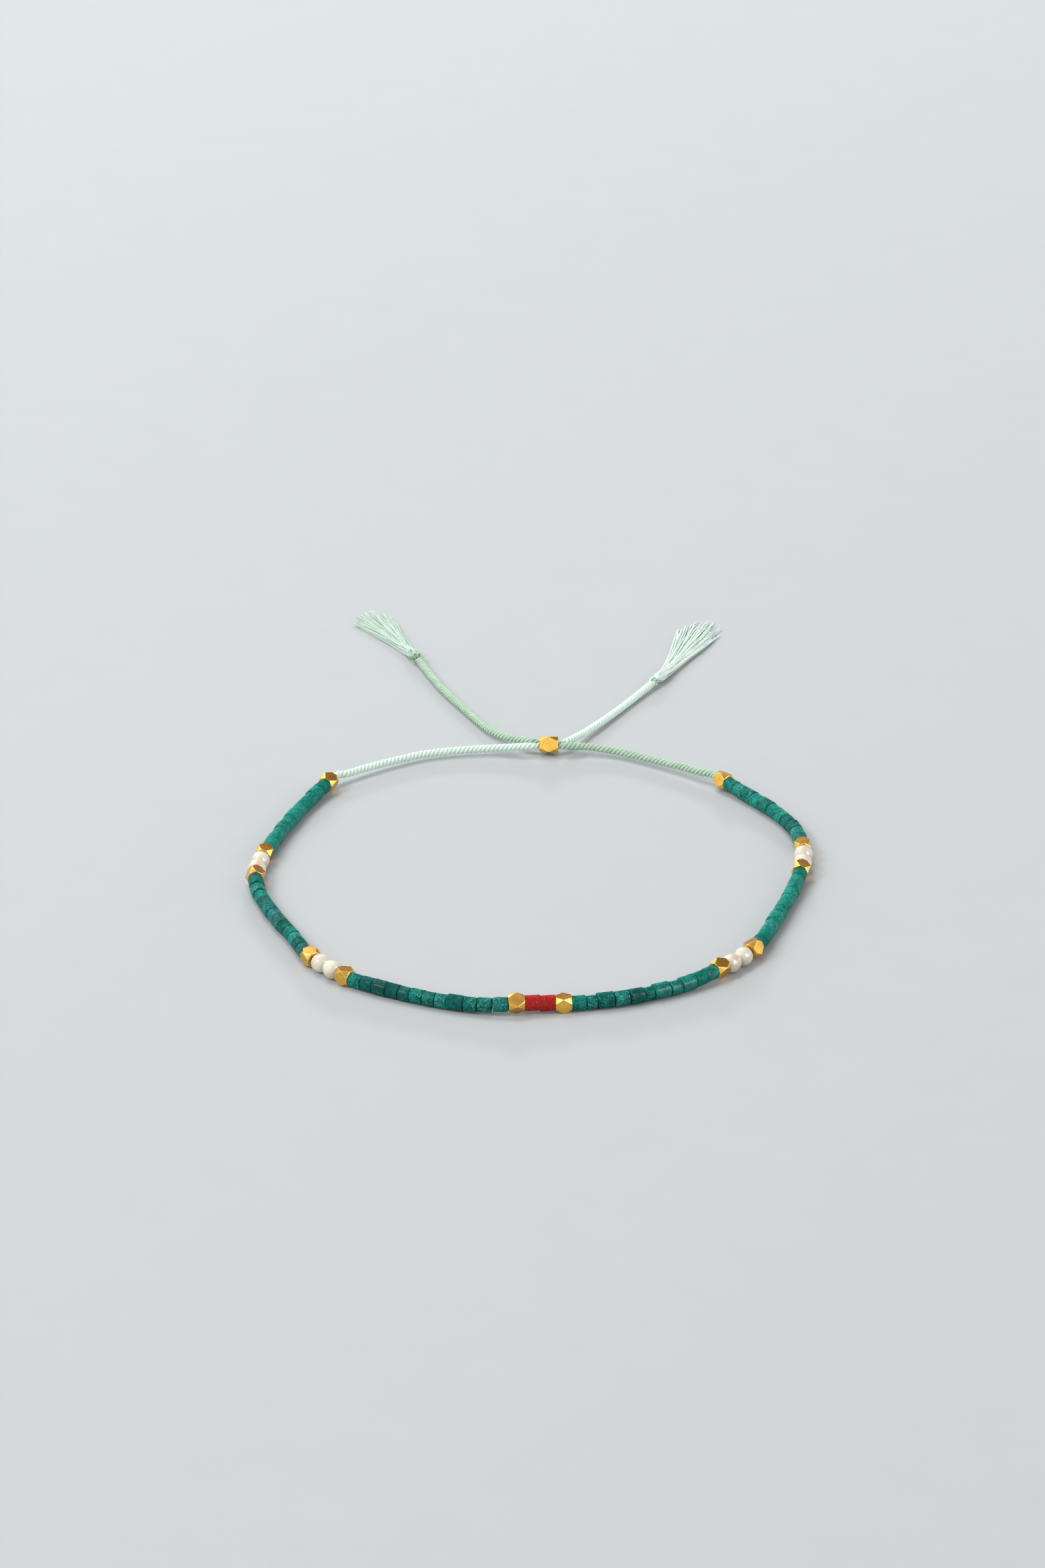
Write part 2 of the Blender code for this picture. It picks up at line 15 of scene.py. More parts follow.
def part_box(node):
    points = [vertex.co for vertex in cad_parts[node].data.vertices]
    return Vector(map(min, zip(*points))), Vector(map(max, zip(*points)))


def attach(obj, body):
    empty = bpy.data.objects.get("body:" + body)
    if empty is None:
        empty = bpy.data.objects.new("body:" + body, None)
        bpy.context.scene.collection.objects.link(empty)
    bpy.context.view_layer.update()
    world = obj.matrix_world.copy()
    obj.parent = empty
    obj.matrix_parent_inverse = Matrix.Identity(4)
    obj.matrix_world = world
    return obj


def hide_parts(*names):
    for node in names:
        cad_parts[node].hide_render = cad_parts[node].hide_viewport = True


bl_info = {
    "name": "Beaded Bracelet",
    "version": (1, 0, 0),
    "blender": (4, 5, 0),
    "location": "3D View > Sidebar > Bracelet",
    "description": "Finish a bracelet of stone, gold and pearl beads on twisted silk cord",
    "category": "Add Mesh",
}

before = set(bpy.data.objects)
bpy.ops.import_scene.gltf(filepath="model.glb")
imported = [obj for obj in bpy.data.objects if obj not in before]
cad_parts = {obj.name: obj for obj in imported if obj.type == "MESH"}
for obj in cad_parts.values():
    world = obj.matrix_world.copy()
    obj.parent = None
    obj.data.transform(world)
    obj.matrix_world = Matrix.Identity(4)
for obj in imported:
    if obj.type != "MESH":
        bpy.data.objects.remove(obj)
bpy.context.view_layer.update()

UP = Vector((0, 0, 1))
MERGE_DISTANCE = 1e-6
FLAT_DEG = 2
EDGE_DEG = 20
RIM_DEG = 45
RIM_SEGMENTS = 3

# Strand
# Painted light on each green run: how much paler its stones are drawn, the side runs as if they caught
# more light and the front run less, from the left end to the right end
GREEN_RUN_PAINTED_LIGHT = {"a": 0.5, "b": -0.05, "c": -0.25, "d": 0.0, "e": 0.45, "f": 0.1}
GOLD_COUNT = 12
RUN_SIDES = 10
STONE_SIDES = 32
RED_SIDES = 40
BARREL_STEPS = 6
PEARL_SIDES = 48
PEARL_STEPS = 24
BORE_RADIUS = 0.0004
END_REACH = 0.00020
RED_LENGTH = 0.00194
PEARL_LENGTH = 0.00222
PEARL_FULLNESS = (0.8, 0.9, 0.9, 0.65, 0.7, 0.9, 0.8, 0.9)

# What each green stone draws its own shade, speckle and gloss from
STONE_SHADES = (-0.3, 0.35)
STONE_SPECKLES = (0.3, 0.55, 0.85, 1.0)
STONE_GLOSSES = (0.02, 0.08, 0.2)

# Gold beads on the two sides of each pair of pearls and of the red pair, by their numbers
PEARL_NEIGHBOURS = [(2, 3), (4, 5), (8, 9), (10, 11)]
RED_NEIGHBOURS = (6, 7)

# Cords: sizes, and the points that they follow from an end bead to a knot
CORD_DIAMETER = 0.00100
SQUEEZED_DIAMETER = 0.00060
SQUEEZED_CLEARANCE = 0.00011
PAIR_OFFSET = (SQUEEZED_DIAMETER + SQUEEZED_CLEARANCE) / 2
FREE_PAIR_OFFSET = (CORD_DIAMETER + SQUEEZED_CLEARANCE) / 2
SLIDER_PLACE = (0.0027, 0.0352, 0.001307)
SLIDER_YAW_DEG = -3
SLIDER_LENGTH = 0.00235
SLIDER_PASS_DEGREES = (-90, -45, 0, 45, 90)
SLIDER_PASS_LENGTH = 0.0033
LEFT_CORD_LOOP = [
    (-0.02476, 0.02583, 0.00126), (-0.02421, 0.02689, 0.00126), (-0.0231, 0.0275, 0.00112),
    (-0.0210, 0.0291, 0.00102), (-0.0185, 0.0308, 0.00094), (-0.0160, 0.0323, 0.00088),
    (-0.0134, 0.0336, 0.00084), (-0.0109, 0.0343, 0.00082), (-0.0083, 0.0348, 0.00082),
    (-0.0060, 0.0350, 0.00087), (-0.0040, 0.0350, 0.00096), (-0.0021, 0.0349, 0.00110),
    (-0.0003, 0.0347, 0.00130),
]
LEFT_CORD_TAIL = [
    (0.0052, 0.0363, 0.00126), (0.0065, 0.0383, 0.00100), (0.0080, 0.0407, 0.00078),
    (0.0098, 0.0436, 0.00066), (0.0115, 0.0465, 0.00057), (0.0133, 0.0496, 0.00055),
    (0.0148, 0.0522, 0.00058), (0.0161, 0.0544, 0.00068),
]
RIGHT_CORD_LOOP = [
    (0.02400, 0.02507, 0.00124), (0.02329, 0.02604, 0.00124), (0.0217, 0.0270, 0.00112),
    (0.0200, 0.0284, 0.00102), (0.0180, 0.0298, 0.00093), (0.0159, 0.0312, 0.00086),
    (0.0138, 0.0325, 0.00083), (0.0117, 0.0337, 0.00084), (0.0096, 0.0345, 0.00092),
    (0.0077, 0.0349, 0.00105), (0.0060, 0.0347, 0.00124),
]
RIGHT_CORD_TAIL = [
    (0.0003, 0.0361, 0.00130), (-0.0009, 0.0369, 0.00112), (-0.0023, 0.0381, 0.00090),
    (-0.0039, 0.0397, 0.00070), (-0.0053, 0.0418, 0.00060), (-0.0068, 0.0448, 0.00056),
    (-0.0083, 0.0480, 0.00055), (-0.0098, 0.0511, 0.00055), (-0.0112, 0.0543, 0.00055),
    (-0.0125, 0.0578, 0.00056), (-0.0135, 0.0607, 0.00060), (-0.0142, 0.0626, 0.00068),
]
Cord = namedtuple("Cord", "side loop direction tail knot dye")
CORDS = [
    Cord("left", LEFT_CORD_LOOP, direction=1, tail=LEFT_CORD_TAIL, knot="right", dye="pale"),
    Cord("right", RIGHT_CORD_LOOP, direction=-1, tail=RIGHT_CORD_TAIL, knot="left", dye="mint"),
]
CORD_OVERLAP = 0.0006

# Plies of a cord: how far each lies from its middle and how thick each is, as shares of its width
PLIES = 3
PLY_OFFSET = 0.26
PLY_RADIUS = 0.24
PLY_SIDES = 8
TWIST_SAMPLES = 15

# Knots
KNOT_LENGTH = 0.00135
KNOT_CORD_DIAMETER = 0.00062
KNOT_RING = 0.00029
KNOT_RISE = 0.00017
KNOT_SAMPLES = 110
JOINT_GAP = 0.0003

# Tassels: which way they lie, how wide they fan and how long their longest lock is
TASSEL_HEAD_DIAMETER = 0.0010
LOCK_DIAMETER = 0.00075
Tassel = namedtuple("Tassel", "heading_deg fan_deg length")
TASSELS = {
    "right": Tassel(heading_deg=70, fan_deg=9.5, length=0.0210),
    "left": Tassel(heading_deg=114.5, fan_deg=11, length=0.0168),
}
Lock = namedtuple("Lock", "fan length lift")
LOCKS = [
    Lock(fan=-1.00, length=0.84, lift=0.1),
    Lock(fan=-0.62, length=0.90, lift=0.6),
    Lock(fan=-0.25, length=0.97, lift=0.1),
    Lock(fan=0.12, length=1.00, lift=0.7),
    Lock(fan=0.52, length=0.95, lift=0.1),
    Lock(fan=0.94, length=0.82, lift=0.5),
]
FIBRE_STEPS = 14
LOCK_SPREAD = 0.30
FIBRE_SIDES = 5
FIBRE_CLEARANCE = 0.00003

# Camera
CAMERA_PLACE = (-0.000756, -0.622245, 0.312128)
CAMERA_TILT_DEG = 64.3
CAMERA_ROLL = -0.0101
PHOTO_HEIGHT = 2352
PHOTO_FOCAL = 8523
SENSOR = 36

# Lights: those for gloss show only in reflections, and those for matt never do
Lamp = namedtuple("Lamp", "name place size use colour", defaults=[(1.0, 1.0, 1.0)])
LAMPS = [
    Lamp("softbox", (-0.55, 0.78, 1.02), (1.2, 1.2), use="both"),
    Lamp("window", (-0.83, -0.39, 0.92), (0.22, 0.28), use="both"),
    Lamp("back_window", (-0.61, 1.37, 0.24), (0.25, 0.25), use="both"),
    Lamp("front_card", (-0.14, -1.20, 0.51), (0.5, 0.4), use="both"),
    Lamp("right_window", (0.94, -0.55, 0.71), (0.55, 0.65), use="gloss"),
    Lamp("right_card", (1.32, -0.35, 0.29), (0.9, 0.7), use="gloss"),
    Lamp("side_light", (-0.85, -0.30, 0.90), (0.5, 0.5), use="matt"),
    Lamp("key", (-0.25, 0.65, 1.2), (0.5, 0.5), use="matt"),
    Lamp("low_light", (0, 1.5, 0.36), (0.30, 0.13), use="matt", colour=(0.88, 0.97, 1.0)),
]

# Light from all round: its tone, and the tones that it turns to along the axes and in one corner
SKY_TONE = (0.60, 0.60, 0.60)
SkyZone = namedtuple("SkyZone", "axis start full tone")
SKY_ZONES = [
    SkyZone("X", start=0.4, full=0.75, tone=(1.75, 1.72, 1.68)),
    SkyZone("X", start=-0.4, full=-0.75, tone=(1.15, 1.15, 1.2)),
    SkyZone("Z", start=0.6, full=0.95, tone=(0.60, 0.54, 0.59)),
    SkyZone("Y", start=0.4, full=0.8, tone=(0.42, 0.31, 0.34)),
]
SKY_CORNER = (0.5, 0.5, 0.707)
SKY_CORNER_TONE = (0.30, 0.25, 0.26)
FLOOR_REACH = 1.6


class BeadSettings(bpy.types.PropertyGroup):
    """Sizes and colours of the beads."""

    stone_edge: FloatProperty(
        name="Stone edge", description="Rounding of a green stone's rims",
        default=0.00008, precision=6, unit="LENGTH")
    stone_wear: FloatProperty(
        name="Stone unevenness", description="How far a stone's surface strays from a cylinder",
        default=0.00003, precision=6, unit="LENGTH")
    stone_tilt: FloatProperty(
        name="Stone end slant", description="Slant of the cut ends", default=math.radians(1.0),
        subtype="ANGLE")
    stone_joint: FloatProperty(
        name="Stone joint", description="Gap that stays between two closed-up stones",
        default=0.00003, precision=6, unit="LENGTH")
    gold_edge: FloatProperty(
        name="Gold edge", description="Width of the worn edges of a gold bead",
        default=0.00005, precision=6, unit="LENGTH")
    red_edge: FloatProperty(
        name="Red edge", description="Rounding of a red bead's rims",
        default=0.00011, precision=6, unit="LENGTH")
    stone_deep: FloatVectorProperty(
        name="Deep green", description="Ground colour of the green stones",
        default=(0.0, 0.038, 0.032), size=3, subtype="COLOR")
    stone_mid: FloatVectorProperty(
        name="Teal", description="Lighter zones of the green stones",
        default=(0.0, 0.172, 0.127), size=3, subtype="COLOR")
    stone_blue: FloatVectorProperty(
        name="Blue green", description="Bluer zones of the green stones",
        default=(0.0, 0.085, 0.095), size=3, subtype="COLOR")
    stone_pale: FloatVectorProperty(
        name="Pale veins", description="Veins and specks of the green stones",
        default=(0.05, 0.42, 0.34), size=3, subtype="COLOR")
    gold_deep: FloatVectorProperty(
        name="Deep gold", description="Brown gold in the pits", default=(0.70, 0.38, 0.08),
        size=3, subtype="COLOR")
    gold_bright: FloatVectorProperty(
        name="Bright gold", description="Gold of the facets", default=(0.97, 0.59, 0.10),
        size=3, subtype="COLOR")
    gold_worn: FloatVectorProperty(
        name="Worn gold", description="Gold of the rubbed edges", default=(1.0, 0.70, 0.20),
        size=3, subtype="COLOR")
    red_ground: FloatVectorProperty(
        name="Red", description="Ground colour of the red beads", default=(0.29, 0.004, 0.006),
        size=3, subtype="COLOR")
    red_speck: FloatVectorProperty(
        name="Coral specks", description="Fine light specks of the red beads",
        default=(0.60, 0.10, 0.055), size=3, subtype="COLOR")
    pearl_cream: FloatVectorProperty(
        name="Pearl cream", description="Ground colour of the pearls",
        default=(0.63, 0.61, 0.50), size=3, subtype="COLOR")
    pearl_rose: FloatVectorProperty(
        name="Pearl rose", description="Rose overtone of the pearls",
        default=(0.58, 0.42, 0.33), size=3, subtype="COLOR")
    pearl_green: FloatVectorProperty(
        name="Pearl green", description="Green overtone of the pearls",
        default=(0.52, 0.57, 0.44), size=3, subtype="COLOR")


class SilkSettings(bpy.types.PropertyGroup):
    """Sizes and colours of the cords, knots and tassels, and the painted shade in the cords' grooves.
    """

    twist: FloatProperty(
        name="Twist", description="Length of one full turn of the plies",
        default=0.0017, precision=6, unit="LENGTH")
    fibre_width: FloatProperty(
        name="Fibre width", description="Thickness of one fibre of a tassel",
        default=0.00012, precision=6, unit="LENGTH")
    fibres: IntProperty(
        name="Fibres in a lock", description="How many fibres each lock of a tassel has",
        default=30, min=1)
    pale_crown: FloatVectorProperty(
        name="Pale crown", description="Crowns of the paler cord", default=(0.64, 0.80, 0.70),
        size=3, subtype="COLOR")
    # Painted shade in the grooves between the plies of the paler cord, also the deepest tone of its
    # tassel's fibres
    pale_groove: FloatVectorProperty(
        name="Pale groove", description="Grooves of the paler cord", default=(0.30, 0.55, 0.40),
        size=3, subtype="COLOR")
    mint_crown: FloatVectorProperty(
        name="Mint crown", description="Crowns of the mint cord", default=(0.33, 0.50, 0.34),
        size=3, subtype="COLOR")
    # Painted shade in the grooves between the plies of the mint cord, also the deepest tone of its
    # tassel's fibres and of the thread's fuzz
    mint_groove: FloatVectorProperty(
        name="Mint groove", description="Grooves of the mint cord", default=(0.11, 0.27, 0.15),
        size=3, subtype="COLOR")
    knot_shade: FloatProperty(
        name="Knot shade", description="Shade of a knot, deeper than its cord below 1",
        default=0.3, min=0, max=2, subtype="FACTOR")
    tassel_shade: FloatProperty(
        name="Tassel shade", description="Shade of a tassel, paler than its cord above 1",
        default=1.55, min=0, max=2, subtype="FACTOR")


class StageSettings(bpy.types.PropertyGroup):
    """Floor and light."""

    floor_colour: FloatVectorProperty(
        name="Floor", description="Colour of the floor", default=(0.424, 0.450, 0.452),
        size=3, subtype="COLOR")
    softbox_power: FloatProperty(
        name="Softbox", description="Power of the large soft light behind, to the left",
        default=6.0, subtype="POWER")
    key_power: FloatProperty(
        name="Key", description="Power of the light from above, unseen in reflections",
        default=5.5, subtype="POWER")
    window_power: FloatProperty(
        name="Window", description="Power of the window light on the left", default=2.4,
        subtype="POWER")
    right_window_power: FloatProperty(
        name="Right window", description="Power of the small window seen in reflections on the right",
        default=10.0, subtype="POWER")
    right_card_power: FloatProperty(
        name="Right card", description="Power of the low card seen in reflections on the right",
        default=1.8, subtype="POWER")
    side_light_power: FloatProperty(
        name="Side light", description="Power of the light on the left, unseen in reflections",
        default=5.0, subtype="POWER")
    back_window_power: FloatProperty(
        name="Back window", description="Power of the small window light behind, to the left",
        default=1.6, subtype="POWER")
    front_card_power: FloatProperty(
        name="Front card", description="Power of the card light over the viewer", default=0.65,
        subtype="POWER")
    low_light_power: FloatProperty(
        name="Low light", description="Power of the small low light behind", default=14.0,
        subtype="POWER")
    fill: FloatProperty(
        name="Fill", description="Strength of the light from all round", default=1.0, min=0)


# Node helpers


def start_finish(name):
    """Return a new material with its node tree and shader."""
    material = bpy.data.materials.new(name)
    material.use_nodes = True
    return material, material.node_tree, material.node_tree.nodes["Principled BSDF"]


def feed(tree, socket, value):
    """Give a socket a value, or link another node's output to it."""
    if isinstance(value, bpy.types.NodeSocket):
        tree.links.new(value, socket)
    elif socket.type == "RGBA":
        socket.default_value = (*value, 1.0)
    else:
        socket.default_value = value


def add_node(tree, kind, inputs=None, **options):
    """Add a node with its options and inputs."""
    node = tree.nodes.new(kind)
    for option, value in options.items():
        setattr(node, option, value)
    for name, value in (inputs or {}).items():
        feed(tree, node.inputs[name], value)
    return node


def object_place(tree):
    """Return the place on the object as a socket."""
    return add_node(tree, "ShaderNodeTexCoord").outputs["Object"]


def attribute(tree, name, output="Fac"):
    """Return a named attribute of the mesh as a socket."""
    return add_node(tree, "ShaderNodeAttribute", attribute_name=name).outputs[output]


def grain(tree, place, size, detail=3.0, w=0.0, roughness=0.55, distortion=0.0):
    """Return soft noise whose patches measure about the given size."""
    inputs = {"Vector": place, "W": w, "Scale": 0.5 / size, "Detail": detail,
              "Roughness": roughness, "Distortion": distortion}
    return add_node(tree, "ShaderNodeTexNoise", inputs, noise_dimensions="4D").outputs["Fac"]


def remap(tree, value, low, high, to_low=0.0, to_high=1.0):
    """Return a value stretched from one range to another, and kept inside it."""
    inputs = {"Value": value, "From Min": low, "From Max": high, "To Min": to_low,
              "To Max": to_high}
    return add_node(tree, "ShaderNodeMapRange", inputs).outputs["Result"]


def mix_colours(tree, factor, first, second):
    """Return a mix of two colours."""
    node = add_node(tree, "ShaderNodeMix", data_type="RGBA")
    feed(tree, node.inputs[0], factor)
    feed(tree, node.inputs[6], first)
    feed(tree, node.inputs[7], second)
    return node.outputs[2]


def relief(tree, height, depth, strength=1.0, under=None):
    """Return a normal that a height pattern of the given depth bends."""
    inputs = {"Height": height, "Distance": depth, "Strength": strength}
    if under is not None:
        inputs["Normal"] = under
    return add_node(tree, "ShaderNodeBump", inputs).outputs["Normal"]


def arithmetic(tree, operation, first, second):
    """Return the result of one step of arithmetic."""
    node = add_node(tree, "ShaderNodeMath", operation=operation)
    feed(tree, node.inputs[0], first)
    feed(tree, node.inputs[1], second)
    return node.outputs[0]


# Finishes


def gold_finish(beads):
    """Old cast gold: brown pits, bright rubbed edges."""
    material, tree, shader = start_finish("worn_gold")
    place = object_place(tree)
    clouds = remap(tree, grain(tree, place, 0.0008), 0.35, 0.68)
    colour = mix_colours(tree, clouds, beads.gold_deep, beads.gold_bright)
    rubbed = remap(tree, grain(tree, place, 0.0003), 0.35, 0.6, 0.2, 0.9)
    rubbed = arithmetic(tree, "MULTIPLY", attribute(tree, "worn"), rubbed)
    colour = mix_colours(tree, rubbed, colour, beads.gold_worn)
    pits = remap(tree, grain(tree, place, 0.00007, detail=4.0), 0.30, 0.48, 0.5, 0.0)
    colour = mix_colours(tree, pits, colour, tuple(0.62 * value for value in beads.gold_deep))
    feed(tree, shader.inputs["Base Color"], colour)
    fine = grain(tree, place, 0.00012, detail=4.0)
    feed(tree, shader.inputs["Roughness"], remap(tree, fine, 0.3, 0.7, 0.14, 0.30))
    dents = relief(tree, grain(tree, place, 0.0006, detail=2.0), 0.000022)
    sandy = grain(tree, place, 0.00007, detail=5.0)
    feed(tree, shader.inputs["Normal"], relief(tree, sandy, 0.000020, under=dents))
    shader.inputs["Metallic"].default_value = 1.0
    return material


def green_stone_finish(beads):
    """Satin teal stone, a shade of its own for each bead with painted light for its run added, with
    pale veins and specks.
    """
    material, tree, shader = start_finish("green_stone")
    place = object_place(tree)
    number = attribute(tree, "number")
    zones = remap(tree, grain(tree, place, 0.0004, w=number, detail=4.0), 0.40, 0.62, 0.0, 0.75)
    lightness = arithmetic(tree, "ADD", zones, attribute(tree, "shade"))
    colour = mix_colours(tree, lightness, beads.stone_deep, beads.stone_mid)
    blue = remap(tree, grain(tree, place, 0.0009, w=number, detail=2.0), 0.52, 0.66, 0.0, 0.5)
    colour = mix_colours(tree, blue, colour, beads.stone_blue)
    cloud = grain(tree, place, 0.0005, w=number, detail=4.0, roughness=0.65, distortion=0.8)
    cloud = remap(tree, cloud, 0.36, 0.60, 0.2, 1.0)
    specks = grain(tree, place, 0.00007, w=number, detail=4.0, roughness=0.75)
    specks = remap(tree, specks, 0.46, 0.60, 0.0, 1.0)
    pale = arithmetic(tree, "MULTIPLY", arithmetic(tree, "MULTIPLY", cloud, specks),
                      attribute(tree, "speckle"))
    colour = mix_colours(tree, pale, colour, beads.stone_pale)
    feed(tree, shader.inputs["Base Color"], colour)
    polish = grain(tree, place, 0.0004, w=number)
    feed(tree, shader.inputs["Roughness"], remap(tree, polish, 0.3, 0.7, 0.36, 0.5))
    rub = relief(tree, grain(tree, place, 0.00016, detail=3.0), 0.000010)
    feed(tree, shader.inputs["Normal"], rub)
    shader.inputs["Specular IOR Level"].default_value = 0.05
    feed(tree, shader.inputs["Coat Weight"], attribute(tree, "gloss"))
    shader.inputs["Coat Roughness"].default_value = 0.10
    shader.inputs["Coat Tint"].default_value = (0.80, 0.95, 1.0, 1.0)
    return material


def red_stone_finish(beads):
    """Red stone with fine coral specks."""
    material, tree, shader = start_finish("red_stone")
    place = object_place(tree)
    specks = remap(tree, grain(tree, place, 0.00007, detail=3.0), 0.50, 0.66, 0.0, 0.9)
    clouds = remap(tree, grain(tree, place, 0.0004), 0.38, 0.60, 0.15, 1.0)
    colour = mix_colours(tree, arithmetic(tree, "MULTIPLY", specks, clouds), beads.red_ground,
                         beads.red_speck)
    feed(tree, shader.inputs["Base Color"], colour)
    polish = grain(tree, place, 0.0003)
    feed(tree, shader.inputs["Roughness"], remap(tree, polish, 0.3, 0.7, 0.32, 0.5))
    feed(tree, shader.inputs["Normal"],
         relief(tree, grain(tree, place, 0.00015, detail=3.0), 0.000012))
    shader.inputs["Specular IOR Level"].default_value = 0.15
    return material


def pearl_finish(beads):
    """Nacre: cream body, rose and green overtones, clear gloss."""
    material, tree, shader = start_finish("nacre")
    place = object_place(tree)
    rose = remap(tree, grain(tree, place, 0.0007, detail=1.5), 0.50, 0.66, 0.0, 0.8)
    green = remap(tree, grain(tree, place, 0.0011, detail=1.5, w=3.7), 0.48, 0.70, 0.0, 0.7)
    colour = mix_colours(tree, rose, beads.pearl_cream, beads.pearl_rose)
    colour = mix_colours(tree, green, colour, beads.pearl_green)
    feed(tree, shader.inputs["Base Color"], colour)
    feed(tree, shader.inputs["Normal"],
         relief(tree, grain(tree, place, 0.0005, detail=1.0), 0.000018))
    shader.inputs["Roughness"].default_value = 0.26
    shader.inputs["Subsurface Weight"].default_value = 0.9
    shader.inputs["Subsurface Radius"].default_value = (1.0, 0.9, 0.8)
    shader.inputs["Subsurface Scale"].default_value = 0.0014
    shader.inputs["Coat Weight"].default_value = 1.0
    shader.inputs["Coat Roughness"].default_value = 0.03
    return material


def silk_finish(name, light, deep_and_groove_shade_colour):
    """Twisted silk: paler on the crown of each ply with painted shade in the grooves between plies,
    each tassel fibre a random tone between the same two colours, streaked along its fibres.
    """
    material, tree, shader = start_finish(name)
    # Crown measures how far out from the cord's middle a point lies; below 0.62 the colour sinks into
    # painted groove shade. On a tassel it holds each fibre's random tone instead.
    crown = remap(tree, attribute(tree, "crown"), 0.62, 1.0)
    colour = mix_colours(tree, crown, deep_and_groove_shade_colour, light)
    streaks = grain(tree, attribute(tree, "fibre", "Vector"), 0.00009, detail=2.0)
    pale = remap(tree, streaks, 0.35, 0.75, 0.0, 0.5)
    colour = mix_colours(tree, pale, colour, tuple(0.5 + 0.5 * value for value in light))
    feed(tree, shader.inputs["Base Color"], colour)
    feed(tree, shader.inputs["Normal"], relief(tree, streaks, 0.00003))
    shader.inputs["Roughness"].default_value = 0.62
    shader.inputs["Sheen Weight"].default_value = 0.35
    shader.inputs["Sheen Roughness"].default_value = 0.4
    shader.inputs["Subsurface Weight"].default_value = 0.2
    shader.inputs["Subsurface Radius"].default_value = (0.8, 1.0, 0.85)
    shader.inputs["Subsurface Scale"].default_value = 0.0003
    return material


def floor_finish(colour):
    """Plain matt floor."""
    material, tree, shader = start_finish("plain_floor")
    tone = remap(tree, grain(tree, object_place(tree), 0.004), 0.3, 0.7, 0.0, 1.0)
    darker = tuple(0.985 * value for value in colour)
    feed(tree, shader.inputs["Base Color"], mix_colours(tree, tone, darker, colour))
    shader.inputs["Roughness"].default_value = 0.95
    shader.inputs["Specular IOR Level"].default_value = 0.1
    return material


# Mesh helpers


def middle(node):
    """Return the middle of a node's box."""
    low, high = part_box(node)
    return (low + high) / 2


def gold_heading(before, after):
    """Return the way from one gold bead to another, by their numbers."""
    return middle(f"gold_bead_{after:02d}") - middle(f"gold_bead_{before:02d}")


def add_object(name, mesh, material):
    """Link a new object that stands at the origin."""
    piece = bpy.data.objects.new(name, mesh)
    bpy.context.scene.collection.objects.link(piece)
    mesh.materials.clear()
    mesh.materials.append(material)
    return piece


def dress(name, bm, material, nodes, sharp_deg=35):
    """Turn a bmesh into a piece that stands for nodes of the frame, none of it under the floor."""
    for vert in bm.verts:
        vert.co.z = max(vert.co.z, 0)
    mesh = bpy.data.meshes.new(name)
    bm.to_mesh(mesh)
    bm.free()
    mesh.shade_smooth()
    mesh.set_sharp_from_angle(angle=math.radians(sharp_deg))
    piece = add_object(name, mesh, material)
    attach(piece, "root")
    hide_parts(*nodes)
    return piece


def merged_copy(node):
    """Return a bmesh of a node's mesh with its loose triangles merged."""
    bm = bmesh.new()
    bm.from_mesh(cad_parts[node].data)
    bmesh.ops.remove_doubles(bm, verts=bm.verts, dist=MERGE_DISTANCE)
    return bm


def islands(bm):
    """List the groups of vertices that edges join."""
    seen = set()
    groups = []
    for start in bm.verts:
        if start in seen:
            continue
        seen.add(start)
        group = [start]
        for vert in group:
            for edge in vert.link_edges:
                other = edge.other_vert(vert)
                if other not in seen:
                    seen.add(other)
                    group.append(other)
        groups.append(group)
    return groups


def spun(bm, profile, steps):
    """Spin a closed profile of (along, out) points round X."""
    verts = [bm.verts.new((along, 0, out)) for along, out in profile]
    edges = [bm.edges.new(pair) for pair in zip(verts, verts[1:] + verts[:1])]
    bmesh.ops.spin(bm, geom=verts + edges, cent=(0, 0, 0), axis=(1, 0, 0), angle=math.tau,
                   steps=steps, use_merge=True, use_duplicate=False)
    bmesh.ops.recalc_face_normals(bm, faces=bm.faces)


def round_rims(bm, radius, width):
    """Bevel the two rims of a turned bead."""
    rims = []
    for edge in bm.edges:
        out = min(math.hypot(vert.co.y, vert.co.z) for vert in edge.verts)
        if out > 0.98 * radius and edge.calc_face_angle(0) > math.radians(RIM_DEG):
            rims.append(edge)
    bmesh.ops.bevel(bm, geom=rims, offset=width, offset_type="OFFSET",
                    segments=RIM_SEGMENTS, profile=0.5, affect="EDGES", material=-1, clamp_overlap=True)


def drilled_barrel(length, radius, sides, rim):
    """Return a drilled tube bead along X with rounded rims."""
    bm = bmesh.new()
    half = length / 2
    barrel = [(-half + length * step / BARREL_STEPS, radius) for step in range(BARREL_STEPS + 1)]
    spun(bm, [(-half, BORE_RADIUS), *barrel, (half, BORE_RADIUS)], sides)
    round_rims(bm, radius, rim)
    return bm


def turn_to(heading, place):
    """Return the matrix that takes a bead from its own X axis to its place on the strand."""
    yaw = math.atan2(heading.y, heading.x)
    return Matrix.Translation(place) @ Matrix.Rotation(yaw, 4, "Z")


def roughen(bm, seed, depth, size, inner=BORE_RADIUS * 1.2):
    """Move a bead's outer surface in and out by smooth noise, before it is placed."""
    bm.normal_update()
    moves = []
    for vert in bm.verts:
        if math.hypot(vert.co.y, vert.co.z) > inner:
            wave = noise.noise(vert.co / size + Vector((seed, 0.37 * seed, 0)))
            moves.append((vert, vert.normal * depth * wave))
    for vert, move in moves:
        vert.co += move


# Routes


def smooth_route(points, steps=24):
    """Return points along a Catmull-Rom curve through the given points."""
    knots = [Vector(point) for point in points]
    knots = [2 * knots[0] - knots[1]] + knots + [2 * knots[-1] - knots[-2]]
    path = [knots[1]]
    for a, b, c, d in zip(knots, knots[1:], knots[2:], knots[3:]):
        for step in range(1, steps + 1):
            t = step / steps
            path.append(b + 0.5 * t * ((c - a) + t * ((2 * a - 5 * b + 4 * c - d)
                        + t * (3 * b - a - 3 * c + d))))
    return path


